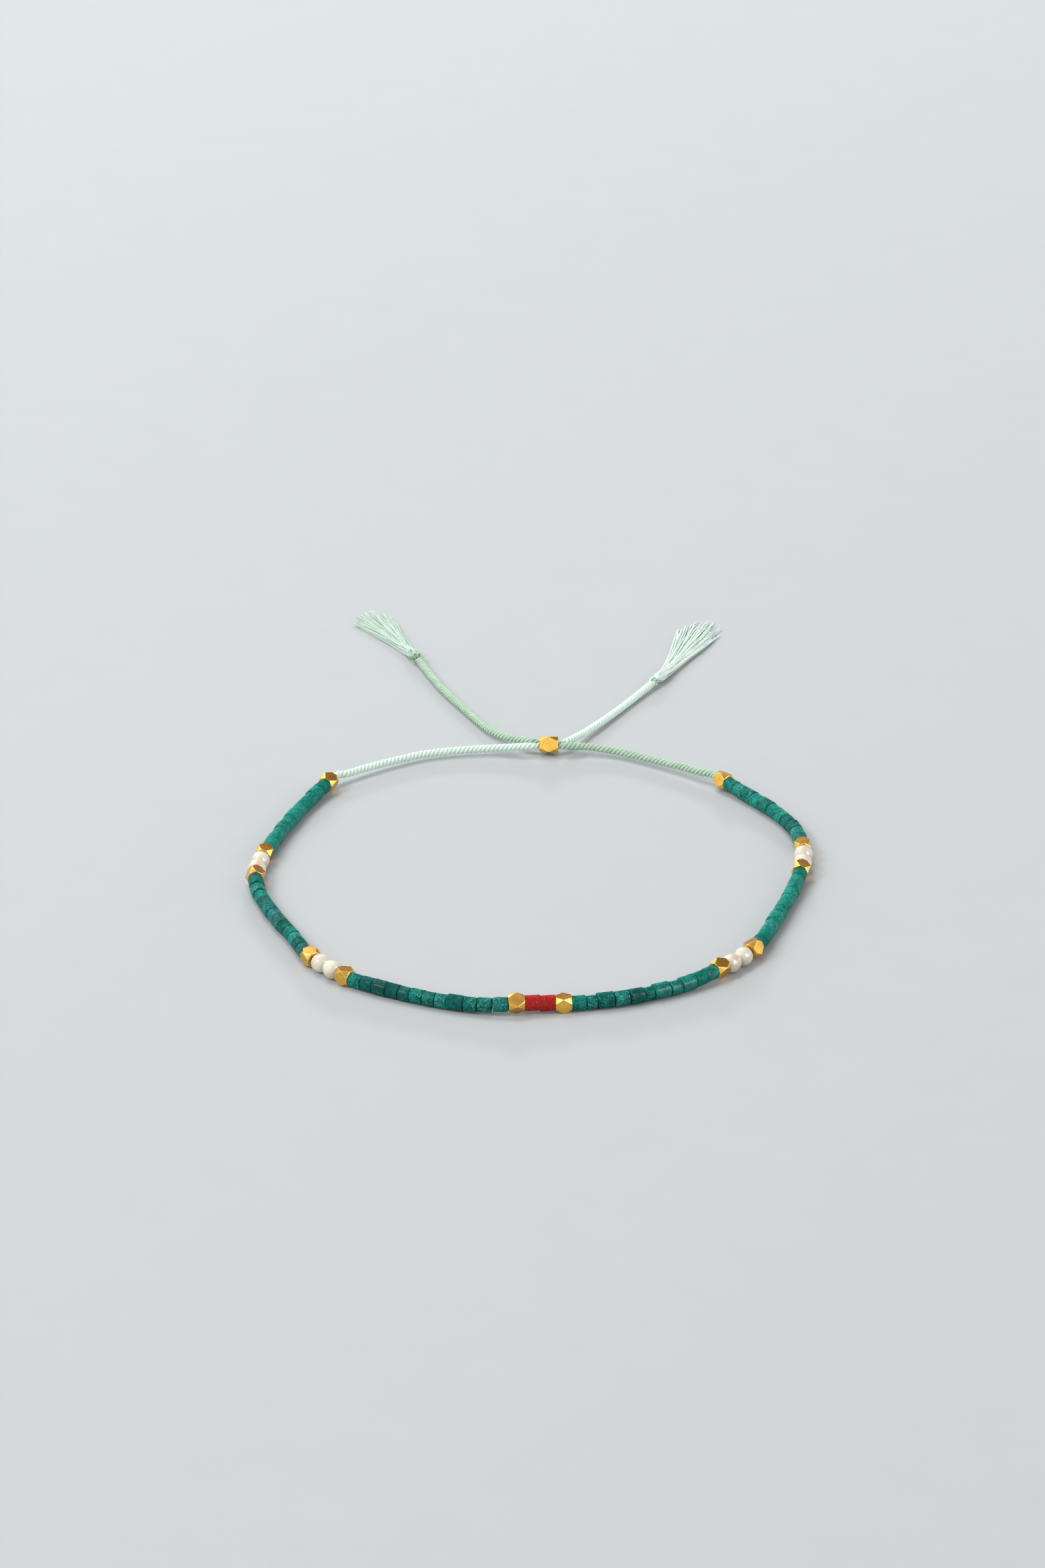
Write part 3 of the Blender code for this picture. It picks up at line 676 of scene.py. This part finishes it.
def path_length(path):
    """Return the length of a line of points."""
    return sum((after - before).length for before, after in zip(path, path[1:]))


def even_points(path, spacing):
    """Return points a constant distance apart along a path, its ends among them."""
    count = max(2, round(path_length(path) / spacing))
    gap = path_length(path) / count
    points = [path[0]]
    gone = 0.0
    for before, after in zip(path, path[1:]):
        step = (after - before).length
        while len(points) < count and gone + step >= len(points) * gap:
            points.append(before.lerp(after, (len(points) * gap - gone) / step))
        gone += step
    return points + [path[-1]]


def carried_frames(points):
    """Return a matrix at each point whose Z axis runs along the line, with as little turn as can be."""
    before = [points[0], *points[:-1]]
    after = [*points[1:], points[-1]]
    headings = [(end - start).normalized() for start, end in zip(before, after)]
    turn = headings[0].to_track_quat("Z", "Y")
    frames = []
    for point, last, heading in zip(points, [headings[0], *headings[:-1]], headings):
        turn = last.rotation_difference(heading) @ turn
        frames.append(Matrix.Translation(point) @ turn.to_matrix().to_4x4())
    return frames


def sweep_tube(points, radii, sides):
    """Extrude a ring of corners along a line of points, close its ends, and return it all."""
    tube = bmesh.new()
    tube.verts.layers.float.new("crown")
    tube.verts.layers.float_vector.new("fibre")
    frames = [place @ Matrix.Scale(radius, 4) for place, radius in zip(carried_frames(points), radii)]
    ring = bmesh.ops.create_circle(tube, cap_ends=False, segments=sides, radius=1.0,
                                   matrix=frames[0])["verts"]
    rings = [ring]
    edges = list(tube.edges)
    ends = edges
    for last, place in zip(frames, frames[1:]):
        grown = bmesh.ops.extrude_edge_only(tube, edges=edges)["geom"]
        ring = [item for item in grown if isinstance(item, bmesh.types.BMVert)]
        corners = set(ring)
        edges = [item for item in grown if isinstance(item, bmesh.types.BMEdge)
                 and corners.issuperset(item.verts)]
        bmesh.ops.transform(tube, matrix=place @ last.inverted(), verts=ring)
        rings.append(ring)
    bmesh.ops.holes_fill(tube, edges=ends + edges, sides=sides)
    return tube, rings, tube.verts.layers.float["crown"], tube.verts.layers.float_vector["fibre"]


def join(bm, part):
    """Move one bmesh into another."""
    mesh = bpy.data.meshes.new("part")
    part.to_mesh(mesh)
    part.free()
    bm.from_mesh(mesh)
    bpy.data.meshes.remove(mesh)


def twist_cord(bm, points, widths, twist):
    """Sweep plies that wind round each other along a line of points."""
    places = carried_frames(points)
    spacing = path_length(points) / (len(points) - 1)
    for ply in range(PLIES):
        centres = []
        for index, (place, width) in enumerate(zip(places, widths)):
            angle = -math.tau * (index * spacing / twist + ply / PLIES)
            side = Vector((math.cos(angle), math.sin(angle), 0))
            centres.append(place @ (side * PLY_OFFSET * width))
        radii = [PLY_RADIUS * width for width in widths]
        tube, rings, crown, fibre = sweep_tube(centres, radii, PLY_SIDES)
        for index, (ring, place, centre, width) in enumerate(zip(rings, places, centres, widths)):
            turn = place.inverted().to_3x3()
            for vert in ring:
                out = (vert.co - place.translation).length
                # How far out from the cord's middle, which the finish turns into painted shade in the
                # grooves between plies
                vert[crown] = out / ((PLY_OFFSET + PLY_RADIUS) * width)
                around = turn @ (vert.co - centre)
                vert[fibre] = Vector((around.x, around.y, 0.1 * index * spacing + 0.01 * ply))
        join(bm, tube)


# Green stones


Stone = namedtuple("Stone", "place heading length radius")


def stones_of(node):
    """Measure each stone of a run on the frame's mesh."""
    bm = merged_copy(node)
    ends = []
    for face in bm.faces:
        spot = face.calc_center_median()
        round_loop = Vector((-spot.y, spot.x, 0)).normalized()
        if abs(face.normal.dot(round_loop)) > 0.5:
            ends.append(face)
    bmesh.ops.delete(bm, geom=ends, context="FACES")
    stones = []
    for group in islands(bm):
        if len(group) != 2 * RUN_SIDES:
            continue
        place = sum((vert.co for vert in group), Vector()) / len(group)
        round_loop = Vector((-place.y, place.x, 0)).normalized()
        group.sort(key=lambda vert: (vert.co - place).dot(round_loop))
        back = sum((vert.co for vert in group[:RUN_SIDES]), Vector()) / RUN_SIDES
        front = sum((vert.co for vert in group[RUN_SIDES:]), Vector()) / RUN_SIDES
        stones.append(Stone(place, (front - back).normalized(), (front - back).length,
                            (group[0].co - back).length))
    bm.free()
    if len(stones) < RUN_SIDES:
        raise RuntimeError(f"{node} shows only {len(stones)} stones")
    stones.sort(key=lambda stone: math.atan2(stone.place.x, -stone.place.y))
    return stones


def lengthened(stone, back, front):
    """Return a stone that reaches further at its two ends."""
    return stone._replace(place=stone.place + stone.heading * (front - back) / 2,
                          length=stone.length + back + front)


def close_joints(stones, joint):
    """Lengthen stones until their rims nearly meet each other and the beads beside the run."""
    spares = [END_REACH]
    for last, after in zip(stones, stones[1:]):
        last_end = last.place + last.heading * last.length / 2
        after_end = after.place - after.heading * after.length / 2
        opening = last.radius * last.heading.angle(after.heading) + joint
        spares.append(max((after_end - last_end).length - opening, 0) / 2)
    spares.append(END_REACH)
    return [lengthened(stone, back, front)
            for stone, back, front in zip(stones, spares, spares[1:])]


def add_stone(bm, stone, beads, number, paler, rng):
    """Add one drilled stone with rounded rims and slightly slanted ends."""
    rim = beads.stone_edge * rng.uniform(0.6, 1.7)
    part = drilled_barrel(stone.length, stone.radius, STONE_SIDES, rim)
    roughen(part, number, beads.stone_wear, 0.0005)
    turn = rng.uniform(0, math.tau)
    slant = math.tan(beads.stone_tilt) * rng.uniform(0, 1)
    for vert in part.verts:
        end = 1 if vert.co.x > 0 else -1
        vert.co.x += end * slant * (vert.co.y * math.cos(turn) + vert.co.z * math.sin(turn))
    bmesh.ops.transform(part, matrix=turn_to(stone.heading, stone.place), verts=part.verts)
    # The shade of a stone is its own random tone plus the painted light of its run
    values = {"shade": paler + rng.uniform(*STONE_SHADES), "speckle": rng.choice(STONE_SPECKLES),
              "gloss": rng.choice(STONE_GLOSSES), "number": number * 3.1}
    for name, value in values.items():
        layer = part.faces.layers.float.new(name)
        for face in part.faces:
            face[layer] = value
    join(bm, part)


# Operators


class SilkCords(bpy.types.Operator):
    """Twist the two silk cords that pass through the sliding bead"""

    bl_idname = "bracelet.silk_cords"
    bl_label = "Silk Cords"

    def execute(self, context):
        silk = context.scene.bracelet_silk
        for cord in CORDS:
            material = silk_finish("silk_cord_" + cord.dye, *dye_and_groove_shade_of(silk, cord))
            path = cord_path(cord)
            piece = self.twist(cord, path, silk, material)
        return {"FINISHED"}

    def twist(self, cord, path, silk, material):
        """Make one cord, which starts inside its bead and ends inside its knot."""
        points = even_points(path, silk.twist / TWIST_SAMPLES)
        start = points[0] + (points[0] - points[1]).normalized() * CORD_OVERLAP
        end = points[-1] + (points[-1] - points[-2]).normalized() * CORD_OVERLAP
        points = even_points([start, *points, end], silk.twist / TWIST_SAMPLES)
        bm = bmesh.new()
        twist_cord(bm, points, [cord_width(point) for point in points], silk.twist)
        return dress("silk_cord_" + cord.side, bm, material, ["cord_" + cord.side], 60)


def dye_and_groove_shade_of(silk, cord, shade=1.0):
    """Return a cord's crown colour and its painted groove shade, also a tassel's deepest fibre tone,
    deeper below a shade of 1 and paler above.
    """
    crown = getattr(silk, cord.dye + "_crown")
    deep_and_groove_shade = getattr(silk, cord.dye + "_groove")
    return [tuple(value ** (2 - shade) for value in colour) for colour in (crown, deep_and_groove_shade)]


def slider_pass(direction):
    """Return points through the sliding bead, where the two cords go half round each other."""
    yaw = math.radians(SLIDER_YAW_DEG)
    heading = Vector((math.cos(yaw), math.sin(yaw), 0))
    side = Vector((-heading.y, heading.x, 0))
    points = []
    for degrees in SLIDER_PASS_DEGREES:
        turn = math.radians(degrees)
        along = SLIDER_PASS_LENGTH / 2 * degrees / SLIDER_PASS_DEGREES[-1]
        offset = PAIR_OFFSET if abs(along) < SLIDER_LENGTH / 2 else FREE_PAIR_OFFSET
        points.append(Vector(SLIDER_PLACE) + direction * along * heading
                      + offset * (math.sin(turn) * side + direction * math.cos(turn) * UP))
    return points


def cord_path(cord):
    """Return the line that a cord follows, from its end bead to its knot."""
    return smooth_route([*cord.loop, *slider_pass(cord.direction), *cord.tail])


def cord_width(point):
    """Return a cord's width at a point, less where the sliding bead squeezes it."""
    past = (point - Vector(SLIDER_PLACE)).length - SLIDER_LENGTH / 2 - SQUEEZED_CLEARANCE
    share = min(max(past / CORD_DIAMETER, 0), 1)
    return SQUEEZED_DIAMETER + (CORD_DIAMETER - SQUEEZED_DIAMETER) * share


def knot_place(cord):
    """Return a knot's middle and the level heading of the cord there."""
    path = cord_path(cord)
    heading = path[-1] - path[-2]
    heading.z = 0
    return middle("knot_" + cord.knot), heading.normalized()


class SilkKnots(bpy.types.Operator):
    """Tie the knots that keep the cords in the sliding bead"""

    bl_idname = "bracelet.silk_knots"
    bl_label = "Silk Knots"

    def execute(self, context):
        silk = context.scene.bracelet_silk
        for cord in CORDS:
            material = silk_finish("silk_knot_" + cord.dye, *dye_and_groove_shade_of(silk, cord, silk.knot_shade))
            place, heading = knot_place(cord)
            turn = Matrix.Translation(place) @ heading.to_track_quat("Z", "Y").to_matrix().to_4x4()
            points = [turn @ self.winding(step / KNOT_SAMPLES) for step in range(KNOT_SAMPLES + 1)]
            bm = bmesh.new()
            twist_cord(bm, points, [KNOT_CORD_DIAMETER] * len(points), silk.twist)
            name = "knot_" + cord.knot
            dress("silk_" + name, bm, material, [name], 60)
        return {"FINISHED"}

    def winding(self, share):
        """Return a point of the knot's winding, twice round the cord with three crossings."""
        turn = math.tau * share
        out = KNOT_RING + KNOT_RISE * math.cos(3 * turn)
        rise = (KNOT_LENGTH - KNOT_CORD_DIAMETER) / 2
        return Vector((out * math.cos(2 * turn), out * math.sin(2 * turn), rise * math.sin(3 * turn)))


class SilkTassels(bpy.types.Operator):
    """Fray the cord ends into tassels of fine fibres"""

    bl_idname = "bracelet.silk_tassels"
    bl_label = "Silk Tassels"

    def execute(self, context):
        silk = context.scene.bracelet_silk
        for cord in CORDS:
            material = silk_finish("silk_tassel_" + cord.dye, *dye_and_groove_shade_of(silk, cord, silk.tassel_shade))
            rng = random.Random(cord.knot)
            knot, leave = knot_place(cord)
            root = knot + leave * (KNOT_LENGTH / 2 + JOINT_GAP + TASSEL_HEAD_DIAMETER / 2)
            bm = bmesh.new()
            for lock in LOCKS:
                for _ in range(silk.fibres):
                    self.add_fibre(bm, root, leave, TASSELS[cord.knot], lock, silk, rng)
            name = "tassel_" + cord.knot
            dress("silk_" + name, bm, material, [name], 80)
        return {"FINISHED"}

    def add_fibre(self, bm, root, leave, tassel, lock, silk, rng):
        """Add one wavy fibre that follows its lock."""
        fan = lock.fan + rng.uniform(-LOCK_SPREAD, LOCK_SPREAD)
        angle = math.radians(tassel.heading_deg - tassel.fan_deg * min(max(fan, -1.05), 1.05))
        outward = Vector((math.cos(angle), math.sin(angle), 0))
        reach = tassel.length * lock.length
        tip = root + reach * outward
        bend = root + (leave + 2 * outward).normalized() * reach / 3
        side = Vector((-outward.y, outward.x, 0))
        spoke = rng.uniform(0, math.tau)
        spread = math.sqrt(rng.random())
        end = rng.uniform(0.86, 1.0)
        wave = rng.uniform(0.00003, 0.00010)
        phase = rng.uniform(0, math.tau)
        waves = rng.uniform(1.0, 2.5)
        radius = silk.fibre_width / 2 * rng.uniform(0.8, 1.15)
        points = [root - leave * (TASSEL_HEAD_DIAMETER / 2 + JOINT_GAP + 0.0002)]
        for step in range(FIBRE_STEPS + 1):
            t = end * step / FIBRE_STEPS
            share = 0.70 + 0.75 * t * (1 - t) - 0.35 * t * t
            point = (1 - t) ** 2 * root + 2 * t * (1 - t) * bend + t * t * tip
            rest = LOCK_DIAMETER * (share / 2 + lock.lift * t * (1 - t))
            height = max((1 - 2 * t) * root.z, rest)
            bundle = spread * (CORD_DIAMETER / 2 * (1 - t) ** 4 + LOCK_DIAMETER / 2 * share)
            sway = wave * t * math.sin(phase + math.tau * waves * t)
            point += side * (bundle * math.cos(spoke) + sway)
            point.z = max(height + bundle * math.sin(spoke) * 0.9, radius + FIBRE_CLEARANCE)
            points.append(point)
        taper = [1.0 - 0.5 * (index / len(points)) ** 4 for index in range(len(points))]
        radii = [radius * share for share in taper]
        tube, rings, crown, fibre = sweep_tube(points, radii, FIBRE_SIDES)
        tone = rng.random()
        for index, ring in enumerate(rings):
            for vert in ring:
                vert[crown] = tone
                vert[fibre] = Vector((spoke * 0.001, spread * 0.001, 0.0001 * index))
        join(bm, tube)


class GreenStones(bpy.types.Operator):
    """Cut the green tube beads of all six runs"""

    bl_idname = "bracelet.green_stones"
    bl_label = "Green Stones"

    def execute(self, context):
        beads = context.scene.bracelet_beads
        material = green_stone_finish(beads)
        rng = random.Random(7)
        number = 0
        # Each run passes its painted light on to its stones
        for letter, paler in GREEN_RUN_PAINTED_LIGHT.items():
            bm = bmesh.new()
            for stone in close_joints(stones_of("heishi_run_" + letter), beads.stone_joint):
                number += 1
                add_stone(bm, stone, beads, number, paler, rng)
            dress("green_stones_" + letter, bm, material, ["heishi_run_" + letter])
        return {"FINISHED"}


class GoldBeads(bpy.types.Operator):
    """Finish the faceted gold beads and the larger one that slides"""

    bl_idname = "bracelet.gold_beads"
    bl_label = "Gold Beads"

    def execute(self, context):
        beads = context.scene.bracelet_beads
        material = gold_finish(beads)
        nodes = [f"gold_bead_{number:02d}" for number in range(1, GOLD_COUNT + 1)]
        for node in nodes + ["slider_bead"]:
            self.finish_bead(node, beads, material)
        return {"FINISHED"}

    def finish_bead(self, node, beads, material):
        """Soften a bead's edges and mark them as worn."""
        bm = merged_copy(node)
        bmesh.ops.dissolve_limit(bm, angle_limit=math.radians(FLAT_DEG), verts=bm.verts,
                                 edges=bm.edges)
        edges = [edge for edge in bm.edges
                 if edge.is_convex and edge.calc_face_angle(0) > math.radians(EDGE_DEG)]
        worn = bm.faces.layers.float.new("worn")
        rounded = bmesh.ops.bevel(bm, geom=edges, offset=beads.gold_edge, offset_type="OFFSET",
                                  segments=2, profile=0.5, affect="EDGES", material=-1,
                                  clamp_overlap=True)
        for face in rounded["faces"]:
            face[worn] = 1.0
        piece = dress("faceted_" + node, bm, material, [node], 180)
        piece.modifiers.new("even_facets", "WEIGHTED_NORMAL").keep_sharp = True


class Pearls(bpy.types.Operator):
    """Shape the eight pearls"""

    bl_idname = "bracelet.pearls"
    bl_label = "Pearls"

    def execute(self, context):
        material = pearl_finish(context.scene.bracelet_beads)
        for pair, neighbours in enumerate(PEARL_NEIGHBOURS):
            for number in (2 * pair + 1, 2 * pair + 2):
                self.shape_pearl(number, gold_heading(*neighbours), material)
        return {"FINISHED"}

    def shape_pearl(self, number, heading, material):
        """Turn a drilled pearl a little off round, some of them fuller at their ends."""
        node = f"pearl_bead_{number:02d}"
        low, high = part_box(node)
        radius = (high.z - low.z) / 2
        half = PEARL_LENGTH / 2
        fullness = PEARL_FULLNESS[number - 1]
        mouth = math.asin((BORE_RADIUS / radius) ** (1 / fullness))
        profile = []
        for step in range(PEARL_STEPS + 1):
            angle = mouth + (math.pi - 2 * mouth) * step / PEARL_STEPS
            profile.append((-half * math.cos(angle) / math.cos(mouth),
                            radius * math.sin(angle) ** fullness))
        bm = bmesh.new()
        spun(bm, profile, PEARL_SIDES)
        roughen(bm, number * 5.3, 0.00005, 0.0014, BORE_RADIUS * 1.05)
        bmesh.ops.transform(bm, matrix=turn_to(heading, middle(node)), verts=bm.verts)
        dress("nacre_" + node, bm, material, [node], 60)


class RedStones(bpy.types.Operator):
    """Turn the two red tube beads"""

    bl_idname = "bracelet.red_stones"
    bl_label = "Red Stones"

    def execute(self, context):
        beads = context.scene.bracelet_beads
        material = red_stone_finish(beads)
        for number in (1, 2):
            self.turn_stone(number, gold_heading(*RED_NEIGHBOURS), beads, material)
        return {"FINISHED"}

    def turn_stone(self, number, heading, beads, material):
        """Turn one drilled red bead with softened rims."""
        node = f"red_bead_{number:02d}"
        low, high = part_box(node)
        radius = (high.z - low.z) / 2
        bm = drilled_barrel(RED_LENGTH, radius, RED_SIDES, beads.red_edge)
        roughen(bm, number * 9.1, beads.stone_wear, 0.0008)
        bmesh.ops.transform(bm, matrix=turn_to(heading, middle(node)), verts=bm.verts)
        dress("polished_" + node, bm, material, [node])


class SilkThread(bpy.types.Operator):
    """Give the thread through the beads its silk"""

    bl_idname = "bracelet.silk_thread"
    bl_label = "Silk Thread"

    def execute(self, context):
        silk = context.scene.bracelet_silk
        material, tree, shader = start_finish("silk_thread")
        fuzz = grain(tree, object_place(tree), 0.0002)
        # Random fuzz between the mint cord's two colours, the darker one being the colour of its
        # painted groove shade
        feed(tree, shader.inputs["Base Color"],
             mix_colours(tree, remap(tree, fuzz, 0.3, 0.7), silk.mint_groove, silk.mint_crown))
        feed(tree, shader.inputs["Normal"], relief(tree, fuzz, 0.00003))
        shader.inputs["Roughness"].default_value = 0.7
        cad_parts["bead_thread"].material_slots[0].material = material
        return {"FINISHED"}


class Stage(bpy.types.Operator):
    """Set the floor, the lights and the camera"""

    bl_idname = "bracelet.stage"
    bl_label = "Floor, Light and Camera"

    def execute(self, context):
        stage = context.scene.bracelet_stage
        context.scene.view_settings.view_transform = "Standard"
        self.add_floor(stage)
        for lamp in LAMPS:
            self.add_light(lamp, getattr(stage, lamp.name + "_power"))
        self.set_world(context.scene, stage)
        self.add_camera(context.scene)
        return {"FINISHED"}

    def add_floor(self, stage):
        """Lay a wide plain floor under the bracelet."""
        bm = bmesh.new()
        bmesh.ops.create_grid(bm, x_segments=8, y_segments=8, size=FLOOR_REACH)
        mesh = bpy.data.meshes.new("floor")
        bm.to_mesh(mesh)
        bm.free()
        add_object("floor", mesh, floor_finish(stage.floor_colour))

    def add_light(self, lamp, power):
        """Add a soft rectangular light that faces the bracelet."""
        light = bpy.data.lights.new(lamp.name, "AREA")
        light.shape = "RECTANGLE"
        light.size, light.size_y = lamp.size
        light.energy = power
        light.color = lamp.colour
        stand = bpy.data.objects.new(lamp.name, light)
        bpy.context.scene.collection.objects.link(stand)
        stand.location = lamp.place
        stand.rotation_euler = Vector(lamp.place).to_track_quat("Z", "Y").to_euler()
        stand.visible_glossy = lamp.use != "matt"
        stand.visible_diffuse = lamp.use != "gloss"

    def set_world(self, scene, stage):
        """Light from all round, with a tone of its own on each side."""
        world = bpy.data.worlds.new("studio")
        world.use_nodes = True
        tree = world.node_tree
        direction = add_node(tree, "ShaderNodeTexCoord").outputs["Generated"]
        axes = add_node(tree, "ShaderNodeSeparateXYZ", {"Vector": direction}).outputs
        tone = SKY_TONE
        for zone in SKY_ZONES:
            share = remap(tree, axes[zone.axis], zone.start, zone.full)
            tone = mix_colours(tree, share, tone, zone.tone)
        corner = add_node(tree, "ShaderNodeVectorMath", {0: direction, 1: SKY_CORNER},
                          operation="DOT_PRODUCT").outputs["Value"]
        tone = mix_colours(tree, remap(tree, corner, 0.8, 0.95), tone, SKY_CORNER_TONE)
        background = tree.nodes["Background"]
        feed(tree, background.inputs["Color"], tone)
        background.inputs["Strength"].default_value = stage.fill
        scene.world = world

    def add_camera(self, scene):
        """Look at the bracelet as the photograph does."""
        lens = bpy.data.cameras.new("camera")
        lens.sensor_fit = "AUTO"
        lens.sensor_width = SENSOR
        lens.lens = PHOTO_FOCAL / PHOTO_HEIGHT * SENSOR
        lens.clip_start = 0.01
        camera = bpy.data.objects.new("camera", lens)
        scene.collection.objects.link(camera)
        camera.matrix_world = (Matrix.Translation(CAMERA_PLACE)
                               @ Matrix.Rotation(math.radians(CAMERA_TILT_DEG), 4, "X")
                               @ Matrix.Rotation(CAMERA_ROLL, 4, "Z"))
        scene.camera = camera


OPERATORS = [Stage, SilkKnots, SilkTassels, SilkCords, SilkThread, GreenStones, GoldBeads,
             Pearls, RedStones]


class BraceletPanel(bpy.types.Panel):
    """Steps that finish the bracelet, in their order"""

    bl_idname = "VIEW3D_PT_bracelet"
    bl_label = "Beaded Bracelet"
    bl_space_type = "VIEW_3D"
    bl_region_type = "UI"
    bl_category = "Bracelet"

    def draw(self, context):
        for step in OPERATORS:
            self.layout.operator(step.bl_idname)


CLASSES = [BeadSettings, SilkSettings, StageSettings, *OPERATORS, BraceletPanel]


def register():
    """Register the classes and their settings."""
    for item in CLASSES:
        bpy.utils.register_class(item)
    bpy.types.Scene.bracelet_beads = PointerProperty(type=BeadSettings)
    bpy.types.Scene.bracelet_silk = PointerProperty(type=SilkSettings)
    bpy.types.Scene.bracelet_stage = PointerProperty(type=StageSettings)


def unregister():
    """Remove the settings and the classes."""
    del bpy.types.Scene.bracelet_stage
    del bpy.types.Scene.bracelet_silk
    del bpy.types.Scene.bracelet_beads
    for item in reversed(CLASSES):
        bpy.utils.unregister_class(item)


def main():
    """Dress the whole bracelet."""
    register()
    for step in OPERATORS:
        group, name = step.bl_idname.split(".")
        getattr(getattr(bpy.ops, group), name)()


if __name__ == "__main__":
    main()
